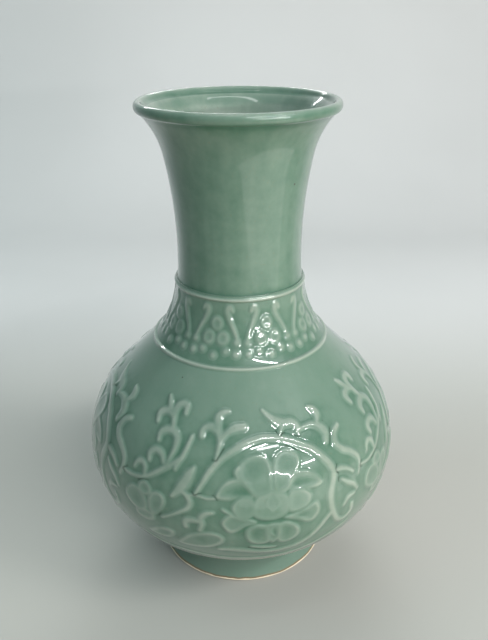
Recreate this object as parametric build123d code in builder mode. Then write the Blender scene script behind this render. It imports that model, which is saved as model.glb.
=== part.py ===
"""Celadon porcelain vase: luted body sections, two ring fillets and sprigged relief, in millimetres.

The frame is +Z up, with the origin on the standing plane, on the vase's axis. The front faces -Y.
The wall is made in five sections, as a thrown vase is: foot ring, lower bowl, shoulder, collar and neck.
Each seam is a half-lap: the outer half of one wall meets the inner half of the next, one step higher.
The relief is a set of thin sprigs that sit on the finished wall: four peony panels round the belly, and
nine sprays round the collar. A place on the wall is given as (degrees round from the front, height).
"""

import os
from math import cos, radians, sin

from build123d import *

# ---------------------------------------------------------------- driving dimensions
vase_height = 255.0
foot_radius = 47.4
foot_waist_radius = 45.0
foot_waist_height = 10.0
foot_height = 17.0
foot_joint_radius = 45.8
foot_ring_inner_radius = 41.0
foot_edge_round = 1.2

belly_radius = 84.2
belly_height = 73.6
belly_curve_below = 53.2
belly_curve_above = 54.5
belly_sweep_below = 58.8
shoulder_slope_angle = 45.0

shoulder_seam_height = 134.7
collar_slope = 0.86
neck_seam_radius = 33.2
neck_seam_height = 165.6
neck_cove_radius = 32.2
neck_cove_height = 169.5
neck_waist_radius = 31.8
neck_waist_height = 182.0
neck_flare_radius = 36.7
neck_flare_height = 229.5
lip_radius = 49.3

wall = 5.0
neck_wall = 4.2
floor_thickness = 7.0
floor_flat_radius = 24.0
lap_step = 2.0
spigot_drop = 2.0
fillet_ring_radius = 0.9
sprig_height = 0.9
collar_sprig_height = 0.7

panel_count = 4
collar_spray_count = 9


# ---------------------------------------------------------------- outer profile, as edges in (radius, height)
def parallel(edge, distance):
    """The same arc or line, moved sideways: outwards from the vase on an edge that rises."""
    ends = []
    for position in (0, 0.5, 1):
        along = edge % position
        ends.append(edge @ position + Vector(along.Y, -along.X) * distance)
    if edge.geom_type == GeomType.LINE:
        return Line(ends[0], ends[2])
    return ThreePointArc(*ends)


belly_below = CenterArc(
    (belly_radius - belly_curve_below, belly_height),
    belly_curve_below,
    -belly_sweep_below,
    belly_sweep_below,
)
foot_joint = Vector(foot_joint_radius, foot_height)
foot_flare = Edge.make_tangent_arc(belly_below @ 0, (belly_below % 0) * -1, foot_joint)
foot_flare = ThreePointArc(foot_flare @ 1, foot_flare @ 0.5, foot_flare @ 0)
belly_above = CenterArc(
    (belly_radius - belly_curve_above, belly_height),
    belly_curve_above,
    0,
    shoulder_slope_angle,
)
shoulder_rise = shoulder_seam_height - (belly_above @ 1).Y
shoulder_cone = Line(belly_above @ 1, belly_above @ 1 + Vector(-shoulder_rise, shoulder_rise))
shoulder_seam = shoulder_cone @ 1
neck_seam = Vector(neck_seam_radius, neck_seam_height)
collar_curve = TangentArc(shoulder_seam, neck_seam, tangent=(-collar_slope, 1))
neck_waist = Vector(neck_waist_radius, neck_waist_height)
neck_cove_top = Vector(neck_cove_radius, neck_cove_height)
neck_base_curve = TangentArc(neck_waist, neck_cove_top, tangent=(0, -1))
neck_cove = TangentArc(neck_cove_top, neck_seam, tangent=neck_base_curve % 1)
neck_cove_up = ThreePointArc(neck_cove @ 1, neck_cove @ 0.5, neck_cove @ 0)
neck_curve = TangentArc(neck_waist, (neck_flare_radius, neck_flare_height), tangent=(0, 1))

lip_round = neck_wall / 2
lip_centre = Vector(lip_radius - lip_round, vase_height - lip_round)
flare_end_angle = radians(45.5)
lip_under = lip_centre + Vector(cos(flare_end_angle), -sin(flare_end_angle)) * lip_round
flare_curve = TangentArc(neck_curve @ 1, lip_under, tangent=neck_curve % 1)

# ---------------------------------------------------------------- inner profile and the middle of the wall
inner_below = parallel(belly_below, -wall)
inner_above = parallel(belly_above, -wall)
inner_cone = parallel(shoulder_cone, -wall)
inner_collar = parallel(collar_curve, -wall)
inner_neck = parallel(neck_curve, -neck_wall)
inner_flare = parallel(flare_curve, -neck_wall)
floor_height = foot_height + floor_thickness
step_up = Vector(0, lap_step)


def lap(outer, inner):
    """The stepped edge of a section's top, from its outer corner to its inner one, one step higher."""
    middle = (outer + inner) / 2
    return Polyline(outer, middle, middle + step_up, inner + step_up)


def radius_at(height):
    """Outer radius of the belly, shoulder or collar at this height."""
    for edge in (belly_below, belly_above, shoulder_cone, collar_curve):
        low, high = 0.0, 1.0
        if (edge @ 0).Y <= height <= (edge @ 1).Y:
            while high - low > 1e-7:
                half = (low + high) / 2
                if (edge @ half).Y < height:
                    low = half
                else:
                    high = half
            return (edge @ low).X
    raise ValueError(f"no relief at height {height}")


def finish(piece, name):
    """Labels a piece and writes its STEP file."""
    piece.label = name
    os.makedirs("parts", exist_ok=True)
    export_step(piece, f"parts/{name}.step")
    print(name, len(piece.solids()), "solid,", round(piece.volume), "mm3")


# ---------------------------------------------------------------- foot ring
with BuildPart() as foot_ring:
    with BuildSketch(Plane.XZ):
        with BuildLine():
            ThreePointArc(
                (foot_radius, foot_edge_round),
                (foot_waist_radius, foot_waist_height),
                foot_joint,
            )
            Polyline(
                foot_joint,
                (foot_ring_inner_radius, foot_height),
                (foot_ring_inner_radius, foot_edge_round),
                (foot_ring_inner_radius + foot_edge_round, 0),
                (foot_radius - foot_edge_round, 0),
                (foot_radius, foot_edge_round),
            )
        make_face()
    revolve(axis=Axis.Z)
finish(foot_ring.part, "foot_ring")

# ---------------------------------------------------------------- lower bowl, with the floor and its spigot
with BuildPart() as lower_body:
    with BuildSketch(Plane.XZ):
        with BuildLine():
            add([foot_flare, belly_below])
            lap(belly_below @ 1, inner_below @ 1)
            Line(inner_below @ 1 + step_up, inner_below @ 1)
            add(inner_below)
            floor_curve = TangentArc(
                inner_below @ 0,
                (floor_flat_radius, floor_height),
                tangent=(inner_below % 0) * -1,
            )
            Polyline(
                floor_curve @ 1,
                (0, floor_height),
                (0, foot_height - spigot_drop),
                (foot_ring_inner_radius, foot_height - spigot_drop),
                (foot_ring_inner_radius, foot_height),
                foot_joint,
            )
        make_face()
    revolve(axis=Axis.Z)
finish(lower_body.part, "lower_body")

# ---------------------------------------------------------------- shoulder
with BuildPart() as upper_body:
    with BuildSketch(Plane.XZ):
        with BuildLine():
            add([belly_above, shoulder_cone])
            lap(shoulder_seam, inner_cone @ 1)
            Line(inner_cone @ 1 + step_up, inner_cone @ 1)
            add(inner_cone)
            ThreePointArc(inner_cone @ 0, inner_above @ 0.5, inner_above @ 0 + step_up)
            lap(belly_above @ 0, inner_above @ 0)
        make_face()
    revolve(axis=Axis.Z)
finish(upper_body.part, "upper_body")

# ---------------------------------------------------------------- collar
with BuildPart() as collar:
    with BuildSketch(Plane.XZ):
        with BuildLine():
            add(collar_curve)
            lap(neck_seam, inner_collar @ 1)
            Line(inner_collar @ 1 + step_up, inner_collar @ 1)
            ThreePointArc(inner_collar @ 1, inner_collar @ 0.5, inner_cone @ 1 + step_up)
            lap(shoulder_seam, inner_cone @ 1)
        make_face()
    revolve(axis=Axis.Z)
finish(collar.part, "collar")

# ---------------------------------------------------------------- neck, with its rounded lip
with BuildPart() as neck:
    with BuildSketch(Plane.XZ):
        with BuildLine():
            add([neck_cove_up, neck_base_curve, neck_curve, flare_curve])
            ThreePointArc(flare_curve @ 1, lip_centre + (flare_curve % 1) * lip_round, inner_flare @ 1)
            add([inner_flare, inner_neck])
            Line(inner_neck @ 0, inner_collar @ 1 + step_up)
            lap(neck_seam, inner_collar @ 1)
        make_face()
    revolve(axis=Axis.Z)
finish(neck.part, "neck")

# ---------------------------------------------------------------- ring fillets over the two upper seams
def ridge(below, above):
    """A half-round ring that covers the seam between the edge below and the edge above it."""
    start = 1 - fillet_ring_radius / below.length
    end = fillet_ring_radius / above.length
    along = below % 1 + above % 0
    crest = below @ 1 + Vector(along.Y, -along.X).normalized() * fillet_ring_radius
    with BuildPart() as ring:
        with BuildSketch(Plane.XZ):
            with BuildLine():
                add([below.trim(start, 1), above.trim(0, end)])
                ThreePointArc(below @ start, crest, above @ end)
            make_face()
        revolve(axis=Axis.Z)
    return ring.part


finish(ridge(shoulder_cone, collar_curve), "shoulder_ridge")
finish(ridge(collar_curve, neck_cove_up), "neck_ridge")


# ---------------------------------------------------------------- the skins that sprigs are cut from
def skin(edges, height):
    """A closed shell over these edges of the profile, as thick as a sprig stands."""
    raised = [parallel(edge, height) for edge in edges]
    with BuildPart() as shell:
        with BuildSketch(Plane.XZ):
            with BuildLine():
                add(edges + raised)
                Line(edges[0] @ 0, raised[0] @ 0)
                Line(edges[-1] @ 1, raised[-1] @ 1)
            make_face()
        revolve(axis=Axis.Z)
    return shell.part


belly_skin = skin([belly_below, belly_above, shoulder_cone], sprig_height)
collar_skin = skin([collar_curve], collar_sprig_height)


# ---------------------------------------------------------------- sprigs
def cutter(facing, stems=(), lobes=()):
    """A prism with a sprig's outline: stems as (width, places) and lobes as (radius, place).

    The outline is drawn on the upright plane through the axis that looks out at the facing angle.
    """
    out = Vector(sin(radians(facing)), -cos(radians(facing)), 0)
    across = Vector(cos(radians(facing)), sin(radians(facing)), 0)

    def flat(place):
        return (radius_at(place[1]) * sin(radians(place[0] - facing)), place[1])

    with BuildPart() as prism:
        with BuildSketch(Plane(origin=(0, 0, 0), x_dir=across, z_dir=out)):
            for width, places in stems:
                points = [flat(place) for place in places]
                with BuildLine() as centre_line:
                    Spline(*points)
                trace(centre_line.line, line_width=width)
                with Locations(points[0], points[-1]):
                    Circle(width / 2)
            for size, place in lobes:
                with Locations(flat(place)):
                    Circle(size)
        extrude(amount=belly_radius + 4)
    return prism.part


def sprig(shell, outline, beside=()):
    """The raised piece that a cutter takes from a skin, cut back to the sprigs that it lies beside."""
    with BuildPart() as piece:
        add(outline)
        for other in beside:
            add(other, mode=Mode.SUBTRACT)
        add(shell, mode=Mode.INTERSECT)
    return piece.part


def spread(piece, name, count):
    """Writes copies of a sprig at an even pitch round the vase, each a node of its own."""
    for i in range(count):
        finish(Rot(0, 0, i * 360 / count) * piece, f"{name}_{i + 1}")


# The full peony: wide petals round its heart.
peony_cutter = cutter(
    10,
    lobes=[
        (6.4, (5, 100)),
        (6.6, (15, 100.6)),
        (6.6, (-1.6, 91)),
        (6.8, (21.3, 92)),
        (6.2, (0.6, 82.4)),
        (10.5, (10, 88)),
        (7.2, (19.3, 83)),
        (6.0, (-1.6, 74.4)),
        (6.2, (21.4, 74.8)),
        (7.4, (5.4, 66.4)),
        (7.4, (14.6, 66.4)),
        (8.0, (10, 75)),
    ],
)
spread(sprig(belly_skin, peony_cutter), "peony", panel_count)

# The half-open flower between two peonies.
peony_bud_cutter = cutter(
    -35,
    lobes=[
        (4.0, (-30.6, 78.5)),
        (4.4, (-35, 80.6)),
        (4.2, (-39.4, 78)),
        (4.8, (-35, 75.6)),
        (3.8, (-37.2, 71.4)),
        (3.8, (-32.8, 71.4)),
    ],
)
spread(sprig(belly_skin, peony_bud_cutter), "peony_bud", panel_count)

# The vine: an arch over the peony, a fall beside it and a low run under it.
vine_cutter = cutter(
    8,
    stems=[
        (3.2, [(-15.5, 87.5), (-12.5, 94), (-9, 101), (-5, 106.5), (0, 110.5), (6, 112.5), (12, 112.6),
               (18, 111), (23, 107.5), (27.5, 102), (31, 95.5), (32.6, 90)]),
        (2.8, [(32.6, 90), (31.6, 84), (30.9, 77), (31.5, 71), (33.5, 65.4), (37, 61.6), (40.6, 62), (41.6, 66.5)]),
        (2.4, [(31.4, 72), (29.4, 68), (26.6, 64), (23, 59.6), (18, 55.9), (12, 54), (5, 53.6), (-1, 55.6),
               (-7, 56.2), (-13, 54.4), (-20, 54.6), (-26, 57.4)]),
    ],
)
spread(sprig(belly_skin, vine_cutter, [peony_cutter]), "vine", panel_count)

# The forked leaf that grows up from the arch.
leaf_fork_cutter = cutter(
    -8,
    stems=[
        (2.0, [(-8.2, 103), (-8.6, 108), (-8.2, 112.4)]),
        (2.6, [(-8.4, 112.4), (-11, 114.9), (-14, 115.3), (-16, 112.6)]),
        (2.4, [(-9.0, 113.6), (-9.8, 117.4), (-8, 119.8), (-5.6, 120.4)]),
        (2.8, [(-8, 112.6), (-5, 114.6), (-2, 115.8), (1, 115.2)]),
    ],
)
spread(sprig(belly_skin, leaf_fork_cutter, [vine_cutter]), "leaf_fork", panel_count)

# The long leaf over the top of the arch, with two hooked leaves at its end.
leaf_crest_cutter = cutter(
    22,
    stems=[
        (2.8, [(9.5, 120.4), (12.5, 118.4), (16, 116.4), (20, 115), (23, 113), (25.6, 110.6)]),
        (2.4, [(24.6, 111), (29.5, 111.6), (32.8, 109.8), (34, 106.5), (32.4, 104.2)]),
        (2.2, [(30.6, 119), (32.6, 117.4), (32.8, 114.6), (30.6, 111.4)]),
    ],
)
spread(sprig(belly_skin, leaf_crest_cutter, [vine_cutter]), "leaf_crest", panel_count)

# The leaves that hang from the fall of the vine.
leaf_fall_cutter = cutter(
    40,
    stems=[
        (2.6, [(33, 92), (35.6, 92.2), (38.6, 90), (41, 86.4), (41.6, 82)]),
        (2.4, [(36.4, 84.6), (38.6, 80.8), (41.6, 78), (43.2, 80)]),
        (2.2, [(37.2, 106.4), (37, 102.6), (38.8, 99.2), (42, 96.6), (44.6, 93.2), (45, 89.4), (44, 84.4), (42.4, 79)]),
    ],
)
spread(sprig(belly_skin, leaf_fall_cutter, [vine_cutter]), "leaf_fall", panel_count)

# The stacked leaves on a stem of their own, left of the peony.
leaf_column_cutter = cutter(
    -31,
    stems=[
        (2.2, [(-40.5, 86.8), (-37, 86.8), (-33.5, 88.8), (-30, 92.2), (-26.5, 96.6), (-23, 101.2), (-20.8, 105.6),
               (-19.7, 109.6)]),
        (2.4, [(-28.6, 110.6), (-29.4, 114), (-29, 117.8), (-26.8, 120), (-24, 119.4)]),
        (2.4, [(-28.6, 113.6), (-32, 116.5), (-35.5, 117), (-37, 114.6), (-35.8, 112.8)]),
        (2.6, [(-32.8, 107), (-32, 109.8), (-29, 110.8), (-26.4, 110), (-25.2, 107), (-24.2, 102)]),
        (2.2, [(-34, 97.8), (-33.4, 100.4), (-31, 101.6), (-29.2, 99.6), (-27.2, 95.8)]),
    ],
)
spread(sprig(belly_skin, leaf_column_cutter), "leaf_column", panel_count)

# The broad leaf and its long curl, beside the peony bud.
leaf_curl_cutter = cutter(
    -20,
    stems=[
        (3.4, [(-17.4, 97), (-19, 93.4), (-21, 88.5), (-23.2, 84.6)]),
        (2.2, [(-20.6, 89.4), (-17.8, 85.4), (-17.4, 81), (-19.4, 77.6), (-22.5, 74.5), (-25.4, 72.4)]),
    ],
)
spread(sprig(belly_skin, leaf_curl_cutter, [vine_cutter]), "leaf_curl", panel_count)

# The low spray under the broad leaf.
leaf_low_cutter = cutter(
    -13,
    stems=[
        (2.2, [(-10.6, 79.6), (-12.6, 77.6), (-14, 74.4), (-14.4, 70.6), (-13, 67.4), (-10.4, 67), (-8.4, 64.6),
               (-8.4, 61.4)]),
        (2.2, [(-14.2, 72.4), (-17, 72.6), (-19.2, 69.2)]),
    ],
)
spread(sprig(belly_skin, leaf_low_cutter, [vine_cutter]), "leaf_low", panel_count)

# The collar spray: two S-shaped stems that stand on beads, joined to a palmette beside them.
lyre_angle = 1.2
palmette_angle = 21.2
lyre_stems = [
    (1.5, [(lyre_angle + side * reach, height)
           for reach, height in ((8.6, 161.6), (11.0, 160.2), (9.4, 157.2), (5.6, 153.4), (3.6, 149), (4.2, 147))])
    for side in (-1, 1)
]
collar_spray_cutter = cutter(
    (lyre_angle + palmette_angle) / 2,
    stems=lyre_stems + [
        (1.2, [(lyre_angle - 4.2, 147), (lyre_angle, 146), (lyre_angle + 4.2, 147), (palmette_angle - 6, 146.6)]),
        (1.2, [(palmette_angle - 8.6, 142.8), (palmette_angle, 144.6), (palmette_angle + 8.6, 142.8)]),
    ],
    lobes=[
        (1.5, (lyre_angle - 4.2, 147)),
        (1.5, (lyre_angle + 4.2, 147)),
        (2.7, (palmette_angle - 4.2, 148.2)),
        (2.7, (palmette_angle + 4.2, 148.2)),
        (2.6, (palmette_angle, 152.2)),
        (2.4, (palmette_angle, 147.2)),
        (1.4, (palmette_angle - 8.6, 142.8)),
        (1.4, (palmette_angle + 8.6, 142.8)),
    ],
)
spread(sprig(collar_skin, collar_spray_cutter), "collar_spray", collar_spray_count)
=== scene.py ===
# %% [markdown]
# # A celadon vase with a peony scroll
# The real vase is thrown or cast in sections, which are luted together with slip. Thin sprigs of clay
# make the relief, and one thick grey-green glaze covers everything but the edge that it stands on.
# The glaze runs off the raised lines, where it looks pale, and gathers in the hollows, where it looks
# deep. Most of this lesson is about that: soft relief in the mesh, and a glaze that knows its own depth.

# %% Load the frame
from math import atan2, cos, hypot, pi, radians, sin

import bpy
import numpy as np
from mathutils import Euler, Matrix, Vector


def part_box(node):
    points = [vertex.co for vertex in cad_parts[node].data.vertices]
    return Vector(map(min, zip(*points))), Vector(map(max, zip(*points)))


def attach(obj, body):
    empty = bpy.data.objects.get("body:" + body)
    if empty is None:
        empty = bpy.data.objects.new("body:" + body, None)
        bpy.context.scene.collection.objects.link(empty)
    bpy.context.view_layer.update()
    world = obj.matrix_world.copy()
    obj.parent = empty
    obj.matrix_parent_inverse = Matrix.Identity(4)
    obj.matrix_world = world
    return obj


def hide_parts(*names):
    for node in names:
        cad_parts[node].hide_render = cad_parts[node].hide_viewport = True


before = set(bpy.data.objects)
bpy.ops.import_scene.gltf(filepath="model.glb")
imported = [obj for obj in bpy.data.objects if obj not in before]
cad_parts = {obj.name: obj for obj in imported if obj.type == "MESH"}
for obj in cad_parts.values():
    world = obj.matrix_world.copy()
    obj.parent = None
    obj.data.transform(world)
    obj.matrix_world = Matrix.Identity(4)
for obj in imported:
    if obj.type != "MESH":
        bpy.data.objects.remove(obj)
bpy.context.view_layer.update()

MM = 0.001

# %% [markdown]
# ## The outline of the wall
# A pot's wall is a shape of revolution, so one curve in (radius, height) describes it. Here the curve is
# a chain of arcs, each leaving the last one along its tangent, which is how a thrower's rib shapes a
# belly. Numbers in this script are millimetres until a mesh is made. Points lie close together, so that
# the glossy wall shows no facets.

# %% Arcs
POINT_STEP = 0.25


def swept(centre, radius, start, end):
    """Points on an arc, from a start angle to an end angle in radians."""
    count = max(2, int(abs(end - start) * radius / POINT_STEP))
    angles = np.linspace(start, end, count)
    return [(centre[0] + radius * cos(angle), centre[1] + radius * sin(angle)) for angle in angles]


def tangent_arc(start, direction, end):
    """Points on the arc that leaves start along direction and arrives at end."""
    length = hypot(*direction)
    side = (direction[1] / length, -direction[0] / length)
    chord = (end[0] - start[0], end[1] - start[1])
    radius = (chord[0] ** 2 + chord[1] ** 2) / (2 * (side[0] * chord[0] + side[1] * chord[1]))
    centre = (start[0] + side[0] * radius, start[1] + side[1] * radius)
    first = atan2(start[1] - centre[1], start[0] - centre[0])
    turn = atan2(end[1] - centre[1], end[0] - centre[0]) - first
    turn = (turn + pi) % (2 * pi) - pi
    return swept(centre, abs(radius), first, first + turn)


# %% The outer curve, from the foot joint to the upper ridge
BELLY_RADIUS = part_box("lower_body")[1].x / MM
BELLY_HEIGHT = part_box("upper_body")[0].z / MM
FOOT_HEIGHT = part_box("foot_ring")[1].z / MM
FOOT_JOINT_RADIUS = 45.8
CURVE_BELOW = 53.2
CURVE_ABOVE = 54.5
SWEEP_BELOW = radians(58.8)
SWEEP_ABOVE = pi / 4  # the cone above this arc rises as fast as it narrows
CONE_POINTS = 100
SHOULDER_SEAM_HEIGHT = 134.7
COLLAR_SLOPE = 0.86
NECK_SEAM = (33.2, 165.6)

below = swept((BELLY_RADIUS - CURVE_BELOW, BELLY_HEIGHT), CURVE_BELOW, 0, -SWEEP_BELOW)
flare = tangent_arc(below[-1], (-sin(SWEEP_BELOW), -cos(SWEEP_BELOW)), (FOOT_JOINT_RADIUS, FOOT_HEIGHT))
above = swept((BELLY_RADIUS - CURVE_ABOVE, BELLY_HEIGHT), CURVE_ABOVE, 0, SWEEP_ABOVE)
cone_rise = SHOULDER_SEAM_HEIGHT - above[-1][1]
cone = [(above[-1][0] - x, above[-1][1] + x) for x in np.linspace(0, cone_rise, CONE_POINTS)]
shoulder_seam = (above[-1][0] - cone_rise, SHOULDER_SEAM_HEIGHT)
collar_curve = tangent_arc(shoulder_seam, (-COLLAR_SLOPE, 1), NECK_SEAM)
outline = np.array(flare[::-1] + below[::-1][1:] + above[1:] + cone[1:] + collar_curve[1:])
print("Outline:", len(outline), "points, heights", outline[0, 1].round(1), "to", outline[-1, 1].round(1))

# %% [markdown]
# ## A flat chart of the wall
# Relief is easier to draw on paper than in space. The chart unrolls the wall: across it run degrees
# round the vase from the front, and up it runs the rise, the distance along the wall above the chart's
# zero line. A place is then (degrees, rise), and its height above the clay is a number for each point
# of a grid. The pattern repeats, so a chart holds one repeat and wraps round at its sides.

# %% Rise along the outline
CHART_ZERO_HEIGHT = 71.4
steps = np.hypot(*np.diff(outline, axis=0).T)
travelled = np.concatenate([[0], np.cumsum(steps)])
rise_along = travelled - np.interp(CHART_ZERO_HEIGHT, outline[:, 1], travelled)
slopes = np.gradient(outline, rise_along, axis=0)
slopes /= np.hypot(slopes[:, 0], slopes[:, 1])[:, None]


def on_wall(rise):
    """Radius, height and the two parts of the outward direction, at these rises."""
    radius, height, across, up = (
        np.interp(rise, rise_along, values)
        for values in (outline[:, 0], outline[:, 1], slopes[:, 1], -slopes[:, 0])
    )
    return radius, height, across, up


def rise_at(height):
    """Rise of the wall at this height."""
    return float(np.interp(height, outline[:, 1], rise_along))


print("Rise at the two seams:", round(rise_at(BELLY_HEIGHT), 1), round(rise_at(SHOULDER_SEAM_HEIGHT), 1))


# %% The chart
SPARE_COLUMNS = 2
FRIEZE_BOTTOM = 135.6
FRIEZE_TOP = 164.6


class Chart:
    """A grid of heights over one repeat of the pattern."""

    def __init__(self, low, high, row_step, repeats, columns):
        self.period = 360 / repeats
        self.repeats = repeats
        self.columns = columns
        self.rises = np.linspace(low, high, int((high - low) / row_step) + 1)
        self.degrees = np.arange(columns) * self.period / columns
        self.radius = on_wall(self.rises)[0]
        self.sprigs = {}

    def filled(self, value):
        """A grid that holds one value everywhere."""
        return np.full((len(self.rises), self.columns), value)

    def offsets(self, place, rows, columns):
        """Distances in mm from a place to these grid points, across and up."""
        half = self.period / 2
        turn = (self.degrees[columns] - place[0] + half) % self.period - half
        across = np.radians(turn)[None, :] * self.radius[rows][:, None]
        return across, (self.rises[rows] - place[1])[:, None]

    def window(self, place, reach):
        """Rows and columns of the grid within a reach of a place."""
        rows = np.flatnonzero(abs(self.rises - place[1]) <= reach)
        radius = np.interp(place[1], self.rises, self.radius)
        half = int(np.degrees(reach / radius) / self.period * self.columns) + SPARE_COLUMNS
        middle = int(round(place[0] / self.period * self.columns))
        return rows, np.arange(middle - half, middle + half + 1) % self.columns


belly = Chart(low=-50.0, high=76.0, row_step=0.55, repeats=4, columns=240)
collar = Chart(rise_at(FRIEZE_BOTTOM), rise_at(FRIEZE_TOP), row_step=0.42, repeats=9, columns=64)
for label, chart in (("Belly", belly), ("Collar", collar)):
    print(label, "chart:", len(chart.rises), "rows of", chart.columns)

# %% [markdown]
# ## Drawing on the chart
# Two kinds of mark make the whole scroll. A stem is a path with a width that may change along it, raised
# like a rounded cord. A petal is a closed outline with a raised rim and a dished middle, as when a
# potter presses each petal with a thumb. Both start from a few points with a smooth curve through them.


# %% Smooth paths
def smooth_path(points, closed=False, parts=10):
    """A Catmull-Rom curve through the points, with some parts between each two of them."""
    points = np.array(points, float)
    if closed:
        ring = np.vstack([points[-1:], points, points[:2]])
    else:
        ring = np.vstack([2 * points[0] - points[1], points, 2 * points[-1] - points[-2]])
    found = []
    for i in range(1, len(ring) - 2):
        before, start, end, after = ring[i - 1], ring[i], ring[i + 1], ring[i + 2]
        for t in np.arange(parts) / parts:
            found.append(
                start
                + 0.5 * t * (end - before)
                + t * t * (before - 2.5 * start + 2 * end - 0.5 * after)
                + t ** 3 * (1.5 * (start - end) + 0.5 * (after - before))
            )
    if not closed:
        found.append(points[-1])
    return np.array(found)


def ease(low, high, value):
    """0 below low and 1 above high, turning smoothly between."""
    t = np.clip((value - low) / (high - low), 0, 1)
    return t * t * (3 - 2 * t)


# %% Stems
STEM_CREST = 0.45  # both are shares of the stem's half width
STEM_FOOT = 1.75


def draw_stem(chart, height_map, points, widths, height):
    """Raises a soft band along the points. widths are spread evenly from its start to its end."""
    path = smooth_path(points)
    along = np.linspace(0, 1, len(path))
    half_widths = np.interp(along, np.linspace(0, 1, len(widths)), widths) / 2
    nearness = chart.filled(np.inf)
    for place, half in zip(path, half_widths):
        rows, columns = chart.window(place, half * STEM_FOOT)
        across, up = chart.offsets(place, rows, columns)
        spot = np.ix_(rows, columns)
        nearness[spot] = np.minimum(nearness[spot], np.hypot(across, up) / half)
    band = height * (1 - ease(STEM_CREST, STEM_FOOT, nearness))
    np.maximum(height_map, band, out=height_map)


# %% Inside or outside an outline
TINY = 1e-12


def depth_inside(chart, path, centre, rows, columns):
    """How far in mm these grid points lie inside a closed path, as a negative number outside it."""
    across, up = chart.offsets(centre, rows, columns)
    up = np.broadcast_to(up, across.shape)
    scale = chart.radius[rows][:, None]
    edge_x = np.radians(path[:, 0] - centre[0])
    edge_y = path[:, 1] - centre[1]
    nearest = np.full(across.shape, np.inf)
    inside = np.zeros(across.shape, bool)
    for i in range(len(path)):
        x0, y0 = edge_x[i - 1] * scale, edge_y[i - 1]
        x1, y1 = edge_x[i] * scale, edge_y[i]
        length = (x1 - x0) ** 2 + (y1 - y0) ** 2 + TINY
        t = np.clip(((across - x0) * (x1 - x0) + (up - y0) * (y1 - y0)) / length, 0, 1)
        gap = np.hypot(across - x0 - t * (x1 - x0), up - y0 - t * (y1 - y0))
        nearest = np.minimum(nearest, gap)
        if y0 != y1:
            crosses = (y0 > up) != (y1 > up)
            inside ^= crosses & (across < x0 + (up - y0) / (y1 - y0) * (x1 - x0))
    return np.where(inside, nearest, -nearest)


# %% Petals
RIM_FOOT = -0.9  # these three are distances inside the petal's outline
RIM_CREST = 0.9
RIM_END = 2.9
HOLLOW_STEEPNESS = 1.5
PETAL_MARGIN = 2


def draw_petal(chart, height_map, points, height, fill, hollow):
    """Raises a closed petal with a rim.

    fill is the level inside the rim, as a share of the rim's. hollow is a thumb mark inside the petal:
    the degrees and rise of its middle, its two half sizes in mm, and how much of the height it takes.
    """
    path = smooth_path(points, closed=True)
    centre = (path.min(axis=0) + path.max(axis=0)) / 2
    wide = np.ptp(path[:, 0]) * radians(1) * chart.radius.max()
    rows, columns = chart.window(centre, max(wide, np.ptp(path[:, 1])) / 2 + PETAL_MARGIN)
    depth = depth_inside(chart, path, centre, rows, columns)
    dish = 1 - (1 - fill) * ease(RIM_CREST, RIM_END, depth)
    petal = height * ease(RIM_FOOT, RIM_CREST, depth) * dish
    if hollow:
        degrees, rise, half_wide, half_high, share = hollow
        over, above = chart.offsets((degrees, rise), rows, columns)
        far = (over / half_wide) ** 2 + (above / half_high) ** 2
        petal *= 1 - share * np.exp(-(far ** HOLLOW_STEEPNESS))
    spot = np.ix_(rows, columns)
    height_map[spot] = np.maximum(height_map[spot], petal)


# %% Sprigs
SPRIG_HEIGHT = 0.56


def draw_sprig(chart, name, stems=(), petals=(), height=SPRIG_HEIGHT):
    """Adds a sprig. A stem is (widths, points). A petal is (outline, fill, hollow)."""
    height_map = chart.filled(0.0)
    for outline_points, fill, hollow in petals:
        draw_petal(chart, height_map, outline_points, height, fill, hollow)
    for widths, points in stems:
        draw_stem(chart, height_map, points, widths, height)
    chart.sprigs[name] = height_map
    print(name, "has", len(stems), "stems and", len(petals), "petals")


# %% [markdown]
# ## The peony scroll
# Each of the four panels has a full peony under an arching vine, a half-open flower, and leaf sprays that
# fill the gaps. Every sprig is drawn on its own, because each one is a piece of clay of its own. The
# petals overlap as on the plant: the upper ones have a deep thumb mark under the rim, and the ones round
# the heart are full.

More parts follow.
